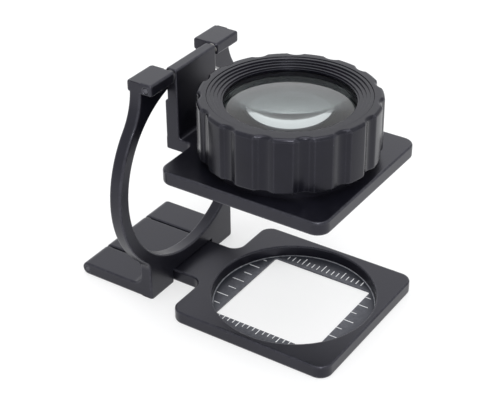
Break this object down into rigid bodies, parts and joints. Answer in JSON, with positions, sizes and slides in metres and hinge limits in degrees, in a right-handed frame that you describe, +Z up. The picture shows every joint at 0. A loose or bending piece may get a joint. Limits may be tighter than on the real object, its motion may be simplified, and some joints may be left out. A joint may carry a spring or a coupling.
{
  "type": "hand lens",
  "caption": "Folding hand lens: fluted focusing magnifier on a hinged arm over a square base with an inch-scale window, carried by a ring-shaped upright.",
  "frame": {"origin": "bottom centre of the bounding box, on the table under the middle of the object", "axes": "+Z up; -Y towards the free ends of the base plate and lens plate; X along both hinge pins"},
  "size_m": [0.0502, 0.068, 0.055],
  "materials": {
    "black_anodised": "black anodised, satin",
    "grip_black": "black anodised, fine satin",
    "inner_black": "black anodised, matt",
    "scale_black": "black anodised, matt, with white filled lines",
    "pin_steel": "blackened steel, worn bright at the ends",
    "spring_steel": "plain spring steel",
    "washer_plastic": "natural nylon",
    "optical_glass": "polished, coated"
  },
  "bodies": {
    "base": {"base_plate": "black_anodised", "scale_disc": "scale_black"},
    "stand": {"ring_stand": "black_anodised", "base_hinge_pin": "pin_steel", "arm_hinge_pin": "pin_steel", "base_hinge_washer": "washer_plastic", "base_hinge_spring": "spring_steel", "arm_hinge_washer": "washer_plastic", "arm_hinge_spring": "spring_steel"},
    "arm": {"lens_arm": "black_anodised", "focus_sleeve": "inner_black", "sleeve_lock_ring": "inner_black", "guide_screw": "pin_steel"},
    "cell": {"lens_cell": "inner_black", "lower_lens": "optical_glass", "lens_spacer": "inner_black", "upper_lens": "optical_glass", "lens_retaining_ring": "inner_black"},
    "grip": {"focus_grip": "grip_black", "eyepiece_bezel": "grip_black", "thrust_washers": "washer_plastic"}
  },
  "joints": [
    {"name": "base_hinge", "type": "hinge", "parent": "base", "child": "stand", "pos_m": [0, 0.03245, 0.00155], "axis": [-1, 0, 0], "range_deg": [0, 270]},
    {"name": "arm_hinge", "type": "hinge", "parent": "stand", "child": "arm", "pos_m": [0, 0.0124, 0.05365], "axis": [-1, 0, 0], "range_deg": [0, 270]},
    {"name": "focus_slide", "type": "slide", "parent": "arm", "child": "cell", "axis": [0, 0, 1], "range_m": [-0.002, 0.002]},
    {"name": "grip_turn", "type": "hinge", "parent": "cell", "child": "grip", "pos_m": [0, -0.0125, 0.047], "axis": [0, 0, 1], "range_deg": [-180, 180]}
  ],
  "couplings": [
    {"joint": "focus_slide", "follows": "grip_turn", "m_per_rad": 0.000636}
  ]
}
